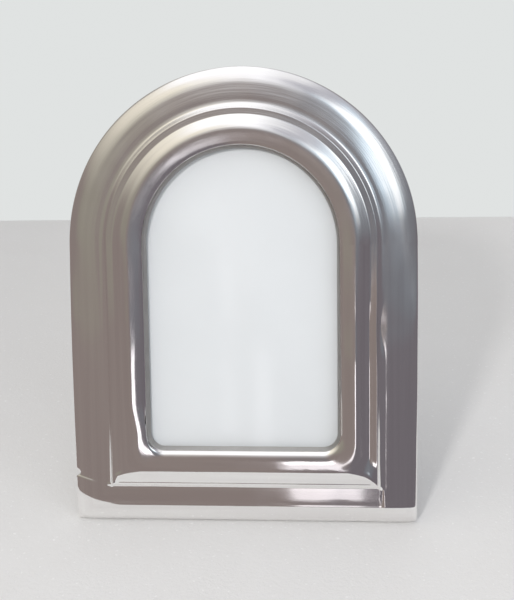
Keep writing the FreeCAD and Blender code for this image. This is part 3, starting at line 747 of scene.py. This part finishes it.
def build_screws(steel):
    """Slotted pan-head screws, each left at its own turn."""
    heads = merged([lathe(SCREW_PROFILE, (x, y)) for x, y, _ in BUTTONS])
    slots = []
    for (x, y, _), turn in zip(BUTTONS, SLOT_TURNS):
        angle = math.radians(turn)
        spin = np.array([[math.cos(angle), math.sin(angle)], [-math.sin(angle), math.cos(angle)]])
        corners = np.array([(-1.0, -1.0), (1.0, -1.0), (1.0, 1.0), (-1.0, 1.0)])
        flat = corners * (SLOT_CUT, SLOT_WIDTH / 2) @ spin + (x, y)
        levels = (-SLOT_CUT, SLOT_FLOOR)
        slots.append(stacked([np.column_stack([flat, np.full(4, level)]) for level in levels]))
    screws, cutter = [
        new_mesh_object(name, placed(points, FACE_ORIGIN, FACE_AXES), faces, steel)
        for name, (points, faces) in (("button_screws", heads), ("screw_slots", merged(slots)))
    ]
    cut = screws.modifiers.new("slots", "BOOLEAN")
    cut.operation = "DIFFERENCE"
    cut.solver = "EXACT"
    cut.object = cutter
    shaped = screws.evaluated_get(bpy.context.evaluated_depsgraph_get())
    screws.data = bpy.data.meshes.new_from_object(shaped)
    screws.modifiers.clear()
    bpy.data.objects.remove(cutter)
    soften(screws, 35)
    hand_over(screws, "turn_button_screws", "frame")


# ---------------------------------------------------------------- shader helpers

def new_material(name):
    """A material, its node tree and its shader."""
    material = bpy.data.materials.new(name)
    material.use_nodes = True
    tree = material.node_tree
    return material, tree, tree.nodes["Principled BSDF"]


def feed(tree, socket, value):
    """Links a socket or sets a plain value."""
    if isinstance(value, bpy.types.NodeSocket):
        tree.links.new(value, socket)
    elif isinstance(value, (tuple, list)) and len(value) == 3 and len(socket.default_value) == 4:
        socket.default_value = (*value, 1.0)
    else:
        socket.default_value = value


def calculate(tree, operation, first, second=0.0):
    node = tree.nodes.new("ShaderNodeMath")
    node.operation = operation
    feed(tree, node.inputs[0], first)
    feed(tree, node.inputs[1], second)
    return node.outputs[0]


def between(tree, value, low, high, start=0.0, end=1.0, smooth=True):
    """Maps low..high to start..end, clamped."""
    node = tree.nodes.new("ShaderNodeMapRange")
    node.interpolation_type = "SMOOTHSTEP" if smooth else "LINEAR"
    for socket, number in zip(node.inputs[:5], (value, low, high, start, end)):
        feed(tree, socket, number)
    return node.outputs[0]


def blend_colours(tree, factor, first, second, mode="MIX"):
    node = tree.nodes.new("ShaderNodeMix")
    node.data_type = "RGBA"
    node.blend_type = mode
    feed(tree, node.inputs["Factor"], factor)
    feed(tree, node.inputs[6], first)
    feed(tree, node.inputs[7], second)
    return node.outputs[2]


def grain(tree, place, scale, detail=2.0, stretch=(1.0, 1.0, 1.0), roughness=0.5):
    """Noise from 0 to 1 with features about one over scale across, in the unit of place."""
    mapping = tree.nodes.new("ShaderNodeMapping")
    feed(tree, mapping.inputs["Vector"], place)
    mapping.inputs["Scale"].default_value = stretch
    node = tree.nodes.new("ShaderNodeTexNoise")
    tree.links.new(mapping.outputs["Vector"], node.inputs["Vector"])
    node.inputs["Scale"].default_value = scale
    node.inputs["Detail"].default_value = detail
    node.inputs["Roughness"].default_value = roughness
    return node.outputs["Fac"]


def bump(tree, height, distance, strength=1.0, before=None):
    node = tree.nodes.new("ShaderNodeBump")
    node.inputs["Strength"].default_value = strength
    node.inputs["Distance"].default_value = distance
    tree.links.new(height, node.inputs["Height"])
    if before is not None:
        tree.links.new(before, node.inputs["Normal"])
    return node.outputs["Normal"]


def position(tree):
    return tree.nodes.new("ShaderNodeTexCoord").outputs["Object"]


# ---------------------------------------------------------------- materials

def make_polished_metal():
    """Hand-polished aluminium: mirror-like at the foot, satin with fine streaks round the arch."""
    material, tree, shader = new_material("polished_aluminium")
    section = tree.nodes.new("ShaderNodeUVMap")
    section.uv_map = "section"
    along = section.outputs["UV"]
    height = tree.nodes.new("ShaderNodeSeparateXYZ")
    feed(tree, height.inputs[0], position(tree))
    arch = between(tree, height.outputs["Z"], 0.085, 0.165)
    streaks = grain(tree, along, 500.0, 3.0, (0.04, 1.0, 1.0), 0.6)
    cloudy = grain(tree, position(tree), 55.0, 2.0)
    satin = calculate(tree, "MULTIPLY", arch, calculate(tree, "MULTIPLY", cloudy, 0.22))
    base = calculate(tree, "ADD", satin, 0.09)
    feed(tree, shader.inputs["Roughness"], base)
    wear = between(tree, grain(tree, along, 170.0, 2.0, (0.03, 1.0, 1.0), 0.5), 0.3, 0.7)
    tint = blend_colours(tree, wear, (0.895, 0.88, 0.875), (0.965, 0.96, 0.95))
    feed(tree, shader.inputs["Base Color"], tint)
    shader.inputs["Metallic"].default_value = 1.0
    dents = grain(tree, along, 90.0, 2.0, (0.35, 1.0, 1.0))
    soft = bump(tree, dents, 0.00006)
    brushed = calculate(tree, "MULTIPLY", streaks, calculate(tree, "ADD", arch, 0.12))
    fine = bump(tree, brushed, 0.00006, before=soft)
    feed(tree, shader.inputs["Normal"], fine)
    return material


def make_rough_metal():
    """The casting as it left the sand, on the lip's wall and all over the back."""
    material, tree, shader = new_material("cast_aluminium_raw")
    place = position(tree)
    grit = grain(tree, place, 1500.0, 4.0, roughness=0.65)
    patches = grain(tree, place, 90.0, 3.0)
    colour = blend_colours(tree, patches, (0.78, 0.76, 0.74), (0.64, 0.62, 0.60))
    feed(tree, shader.inputs["Base Color"], colour)
    shader.inputs["Metallic"].default_value = 1.0
    feed(tree, shader.inputs["Roughness"], between(tree, grit, 0.2, 0.8, 0.42, 0.62))
    feed(tree, shader.inputs["Normal"], bump(tree, grit, 0.00025))
    return material


def make_glass():
    """Clear glass, a little soft so that it shows no sharp reflection of its own."""
    material, _, shader = new_material("picture_glass")
    shader.inputs["Base Color"].default_value = (1.0, 1.0, 1.0, 1.0)
    shader.inputs["Transmission Weight"].default_value = 1.0
    shader.inputs["IOR"].default_value = 1.5
    shader.inputs["Specular IOR Level"].default_value = 0.2
    shader.inputs["Roughness"].default_value = 0.12
    return material


def make_white_card():
    """Smooth white card with a faint cloudiness and fine fibres."""
    material, tree, shader = new_material("white_card_face")
    fibres = grain(tree, position(tree), 900.0, 3.0)
    clouds = between(tree, grain(tree, position(tree), 28.0, 2.0), 0.3, 0.7)
    colour = blend_colours(tree, clouds, (0.765, 0.80, 0.825), (0.78, 0.815, 0.84))
    feed(tree, shader.inputs["Base Color"], colour)
    shader.inputs["Roughness"].default_value = 0.6
    feed(tree, shader.inputs["Normal"], bump(tree, fibres, 0.00002))
    return material


def make_grey_card():
    """Recycled grey card with dark specks in its pulp."""
    material, tree, shader = new_material("grey_card")
    place = position(tree)
    specks = between(tree, grain(tree, place, 1600.0, 2.0), 0.56, 0.70)
    pulp = grain(tree, place, 220.0, 4.0)
    colour = blend_colours(tree, pulp, (0.36, 0.35, 0.33), (0.46, 0.45, 0.42))
    feed(tree, shader.inputs["Base Color"], blend_colours(tree, specks, colour, (0.24, 0.22, 0.20)))
    shader.inputs["Roughness"].default_value = 0.88
    feed(tree, shader.inputs["Normal"], bump(tree, pulp, 0.00008))
    return material


def make_fibreboard():
    """Brown hardboard: short fibres pressed flat, with dark and pale specks."""
    material, tree, shader = new_material("fibreboard")
    place = position(tree)
    fibres = grain(tree, place, 900.0, 4.0, (1.0, 1.0, 0.22), 0.65)
    crossing = grain(tree, place, 800.0, 3.0, (0.22, 1.0, 1.0), 0.6)
    patches = grain(tree, place, 45.0, 3.0)
    colour = blend_colours(tree, patches, (0.27, 0.165, 0.09), (0.36, 0.235, 0.135))
    colour = blend_colours(tree, between(tree, fibres, 0.50, 0.72), colour, (0.50, 0.36, 0.23))
    colour = blend_colours(tree, between(tree, crossing, 0.60, 0.74), colour, (0.13, 0.075, 0.04))
    feed(tree, shader.inputs["Base Color"], colour)
    feed(tree, shader.inputs["Roughness"], between(tree, patches, 0.3, 0.7, 0.62, 0.78))
    both = calculate(tree, "ADD", fibres, crossing)
    feed(tree, shader.inputs["Normal"], bump(tree, both, 0.00012))
    return material


def make_flock():
    """Black flocked cloth: a short dense pile, brushed a little unevenly."""
    material, tree, shader = new_material("black_flock")
    place = position(tree)
    pile = grain(tree, place, 3200.0, 3.0, roughness=0.7)
    nap = between(tree, grain(tree, place, 38.0, 3.0, (1.0, 1.0, 0.55)), 0.35, 0.68)
    lint = between(tree, grain(tree, place, 700.0, 1.0, (1.0, 1.0, 0.3)), 0.76, 0.82)
    colour = blend_colours(tree, nap, (0.012, 0.012, 0.014), (0.030, 0.029, 0.032))
    colour = blend_colours(tree, between(tree, pile, 0.35, 0.75), colour, (0.045, 0.044, 0.047))
    feed(tree, shader.inputs["Base Color"], blend_colours(tree, lint, colour, (0.11, 0.108, 0.11)))
    shader.inputs["Roughness"].default_value = 0.95
    shader.inputs["Sheen Weight"].default_value = 0.45
    shader.inputs["Sheen Roughness"].default_value = 0.45
    shader.inputs["Sheen Tint"].default_value = (0.75, 0.75, 0.80, 1.0)
    soft = bump(tree, nap, 0.00025)
    feed(tree, shader.inputs["Normal"], bump(tree, pile, 0.00018, before=soft))
    return material


def make_plated_steel(name, dull):
    """Zinc-plated steel: pale grey with a faint mottle, rubbed brighter in fine scratches."""
    material, tree, shader = new_material(name)
    place = position(tree)
    mottle = grain(tree, place, 260.0, 3.0)
    scratches = grain(tree, place, 2600.0, 2.0, (0.06, 1.0, 1.0), 0.6)
    zinc = between(tree, mottle, 0.3, 0.7)
    colour = blend_colours(tree, zinc, (0.58, 0.59, 0.60), (0.72, 0.72, 0.70))
    feed(tree, shader.inputs["Base Color"], colour)
    shader.inputs["Metallic"].default_value = 1.0
    rubbed = calculate(tree, "MULTIPLY", between(tree, scratches, 0.45, 0.75), -0.10)
    rough = between(tree, mottle, 0.3, 0.7, dull - 0.05, dull + 0.10)
    feed(tree, shader.inputs["Roughness"], calculate(tree, "ADD", rough, rubbed))
    feed(tree, shader.inputs["Normal"], bump(tree, scratches, 0.000012))
    return material


def make_brass():
    """Brass rivets with a brown tarnish that is thinner where they were handled."""
    material, tree, shader = new_material("satin_brass")
    place = position(tree)
    tarnish = grain(tree, place, 900.0, 3.0)
    dark = between(tree, tarnish, 0.35, 0.7)
    colour = blend_colours(tree, dark, (0.80, 0.62, 0.33), (0.42, 0.28, 0.13))
    feed(tree, shader.inputs["Base Color"], colour)
    shader.inputs["Metallic"].default_value = 1.0
    feed(tree, shader.inputs["Roughness"], between(tree, tarnish, 0.3, 0.7, 0.24, 0.45))
    feed(tree, shader.inputs["Normal"], bump(tree, tarnish, 0.00002))
    return material


# ---------------------------------------------------------------- camera, light and floor

PALE_WALL = (0.745, 0.765, 0.76)
WARM_ROOM = (0.25, 0.208, 0.195)
OLIVE_ROOM = (0.275, 0.252, 0.215)
COOL_ROOM = (0.158, 0.142, 0.158)
BLUE_ROOM = (0.175, 0.18, 0.20)
DIM_ROOM = (0.24, 0.22, 0.225)
CREAM = (0.95, 0.89, 0.76)
DAYLIGHT = (0.78, 0.94, 1.08)
GLARE = (1.45, 1.48, 1.50)
CEILING = (1.15, 1.15, 1.18)
DIM_CEILING = (0.47, 0.47, 0.52)
RIGHT_CEILING = (0.9, 0.9, 0.92)

# The camera looks at a point on the face, given in mm in the face frame.
CAMERA_TARGET = (7.4, 113.0, 7.5)
CAMERA_DISTANCE = 0.5892
CAMERA_AZIMUTH = math.radians(5.04)
CAMERA_ELEVATION = math.radians(21.82)
CAMERA_ROLL = math.radians(-2.0)
FOCAL_LENGTH = 72.0

SLAB_THICK = 0.02
FLOOR_BACK = 0.491
FLOOR_SLAB = (-0.25, 0.29, -0.05, FLOOR_BACK)
FLOOR_AROUND = (-1.5, 1.5, -1.5, FLOOR_BACK)

KEY_DISTANCE = 1.6
KEY_AZIMUTH = math.radians(-15.0)
KEY_ELEVATION = math.radians(30.3)


def add_camera():
    """Stands in front, a little to the right and above, looking down at the frame."""
    target = Vector(placed([CAMERA_TARGET], FACE_ORIGIN, FACE_AXES)[0])
    away = direction_at(CAMERA_AZIMUTH, CAMERA_ELEVATION)
    data = bpy.data.cameras.new("camera")
    data.sensor_width = 36.0
    data.lens = FOCAL_LENGTH
    data.clip_start = 0.01
    camera = bpy.data.objects.new("camera", data)
    camera.rotation_mode = "QUATERNION"
    camera.location = target + away * CAMERA_DISTANCE
    camera.rotation_quaternion = away.to_track_quat("Z", "Y") @ Quaternion((0, 0, 1), CAMERA_ROLL)
    bpy.context.scene.collection.objects.link(camera)
    bpy.context.scene.camera = camera


def corners_of(rectangle):
    left, right, front, back = rectangle
    return [(left, front), (right, front), (right, back), (left, back)]


def add_slab(name, outline, hole, material):
    """A slab whose top is the floor, or a thin floor round a rectangular hole if one is given."""
    ring = corners_of(outline)
    if hole is None:
        points = [(x, y, z) for z in (0.0, -SLAB_THICK) for x, y in ring]
        faces = [(0, 1, 2, 3), (7, 6, 5, 4)]
        faces += [(i + 4, (i + 1) % 4 + 4, (i + 1) % 4, i) for i in range(4)]
    else:
        points = [(x, y, 0.0) for x, y in ring + corners_of(hole)]
        faces = [(i, (i + 1) % 4, (i + 1) % 4 + 4, i + 4) for i in range(4)]
    slab = new_mesh_object(name, points, faces, material)
    return slab


def make_marble():
    """Pale marble with bright flecks, with painted shade that makes it a little darker towards the
    left.
    """
    material, tree, shader = new_material("marble")
    place = position(tree)
    crystals = grain(tree, place, 500.0, 3.0, roughness=0.7)
    clouds = grain(tree, place, 14.0, 3.0)
    colour = blend_colours(tree, clouds, (0.785, 0.78, 0.775), (0.825, 0.825, 0.825))
    flecks = between(tree, grain(tree, place, 420.0, 1.0), 0.66, 0.78)
    colour = blend_colours(tree, flecks, colour, (0.90, 0.90, 0.90))
    # Painted shade: the marble's colour is darkened by up to a tenth towards the left, from X 0.02 m
    # to X -0.30 m.
    aside = tree.nodes.new("ShaderNodeSeparateXYZ")
    feed(tree, aside.inputs[0], place)
    shade = between(tree, aside.outputs["X"], -0.30, 0.02)
    colour = blend_colours(tree, shade, blend_colours(tree, 0.10, colour, (0.0, 0.0, 0.0)), colour)
    feed(tree, shader.inputs["Base Color"], colour)
    shader.inputs["Roughness"].default_value = 0.55
    feed(tree, shader.inputs["Normal"], bump(tree, crystals, 0.0003))
    return material


def add_floor():
    """A pale slab. The floor around it is kept out of the metal's reflections."""
    marble = make_marble()
    add_slab("floor", FLOOR_SLAB, None, marble)
    hole = FLOOR_SLAB[:3] + (FLOOR_BACK - 0.0001,)
    around = add_slab("floor_around", FLOOR_AROUND, hole, marble)
    around.visible_glossy = False


def add_world():
    """A dim room: warm to the left, cool to the right, bright overhead, pale behind the frame.

    Directions are unit vectors: across to the right, depth away from the viewer, and up.
    """
    world = bpy.data.worlds.new("studio")
    bpy.context.scene.world = world
    world.use_nodes = True
    tree = world.node_tree
    background = tree.nodes["Background"]
    direction = tree.nodes.new("ShaderNodeTexCoord").outputs["Generated"]
    parts = tree.nodes.new("ShaderNodeSeparateXYZ")
    feed(tree, parts.inputs[0], direction)
    across, depth, up = parts.outputs
    # Both walls are paler higher up, and the left one only well off to the side.
    higher = between(tree, up, 0.03, 0.14)
    near_side = between(tree, across, -0.18, -0.30)
    far_side = between(tree, across, -0.98, -0.86)
    aside = calculate(tree, "MULTIPLY", near_side, far_side)
    left_wall = blend_colours(tree, calculate(tree, "MULTIPLY", higher, aside), WARM_ROOM, OLIVE_ROOM)
    right_wall = blend_colours(tree, higher, COOL_ROOM, BLUE_ROOM)
    walls = blend_colours(tree, between(tree, across, -0.10, 0.05), left_wall, right_wall)
    left_sky = blend_colours(tree, between(tree, up, 0.78, 0.92), CREAM, CEILING)
    sky = blend_colours(tree, between(tree, across, -0.35, -0.05), left_sky, CEILING)
    right_sky = blend_colours(tree, between(tree, up, 0.86, 0.97), DIM_CEILING, RIGHT_CEILING)
    sky = blend_colours(tree, between(tree, across, 0.0, 0.2), sky, right_sky)
    behind = between(tree, depth, -0.05, 0.35)
    behind = calculate(tree, "MULTIPLY", behind, between(tree, up, 0.9, 0.75))
    sky = blend_colours(tree, behind, sky, DIM_ROOM)
    room = blend_colours(tree, between(tree, up, 0.24, 0.86), walls, sky)
    # A window to the right: its near edge, far edge, sill and head.
    far = calculate(tree, "MULTIPLY", across, 0.559)
    far = calculate(tree, "ADD", far, calculate(tree, "MULTIPLY", depth, 0.829))
    far = calculate(tree, "SUBTRACT", far, calculate(tree, "MULTIPLY", up, 0.30))
    head = calculate(tree, "SUBTRACT", up, calculate(tree, "MULTIPLY", across, 0.28))
    window = between(tree, across, 0.15, 0.36)
    window = calculate(tree, "MULTIPLY", window, between(tree, far, 0.06, -0.08))
    window = calculate(tree, "MULTIPLY", window, between(tree, up, 0.20, 0.36))
    window = calculate(tree, "MULTIPLY", window, between(tree, head, 0.68, 0.55))
    lamp = tree.nodes.new("ShaderNodeVectorMath")
    lamp.operation = "DOT_PRODUCT"
    feed(tree, lamp.inputs[0], direction)
    lamp.inputs[1].default_value = (0.60, -0.60, 0.53)
    glare = between(tree, lamp.outputs["Value"], 0.93, 0.985)
    room = blend_colours(tree, window, room, blend_colours(tree, glare, DAYLIGHT, GLARE))
    room = blend_colours(tree, between(tree, depth, 0.50, 0.80), room, PALE_WALL)
    seen = tree.nodes.new("ShaderNodeLightPath").outputs["Is Camera Ray"]
    feed(tree, background.inputs["Color"], blend_colours(tree, seen, room, PALE_WALL))


def add_lamp(name, place, target, width, height, radiance, colour):
    """A rectangular lamp of a given radiance that faces the target."""
    data = bpy.data.lights.new(name, "AREA")
    data.shape = "RECTANGLE"
    data.size = width
    data.size_y = height
    data.energy = radiance * math.pi * width * height
    data.color = colour
    lamp = bpy.data.objects.new(name, data)
    away = Vector(place) - Vector(target)
    lamp.rotation_mode = "QUATERNION"
    lamp.location = place
    lamp.rotation_quaternion = away.to_track_quat("Z", "Y")
    bpy.context.scene.collection.objects.link(lamp)
    return lamp


def add_lamps():
    """A key lamp, a weak fill, and two upright screens that the metal mirrors."""
    middle = Vector((0.0, 0.03, 0.11))
    place = middle + KEY_DISTANCE * direction_at(KEY_AZIMUTH, KEY_ELEVATION)
    key = add_lamp("key", place, middle, 0.14, 0.14, 158.0, (1.0, 0.98, 0.96))
    fill = add_lamp("fill", (0.3, -1.45, 0.75), middle, 0.6, 0.6, 1.9, (1.0, 0.98, 0.97))
    for lamp in (key, fill):
        lamp.visible_glossy = False
        lamp.visible_transmission = False
    for name, level, height, radiance, colour in (
        ("screen_high", 0.09, 0.18, 1.4, (1.0, 0.97, 1.0)),
        ("screen_low", -0.115, 0.23, 0.85, (1.0, 0.96, 1.0)),
    ):
        add_lamp(name, (0.006, -1.5, level), (0.0, 0.0, level), 0.133, height, radiance, colour)


def main():
    board = make_fibreboard()
    flock = make_flock()
    fittings = make_plated_steel("plated_steel", 0.28)
    build_casting(make_polished_metal(), make_rough_metal())
    build_glazing()
    build_backing(board, flock)
    build_strut(board, flock)
    build_hinge(fittings)
    build_rivets(make_brass())
    build_turn_buttons(fittings)
    build_screws(make_plated_steel("plated_screws", 0.36))
    add_camera()
    add_floor()
    add_world()
    add_lamps()
    bpy.context.scene.view_settings.view_transform = "Standard"


main()
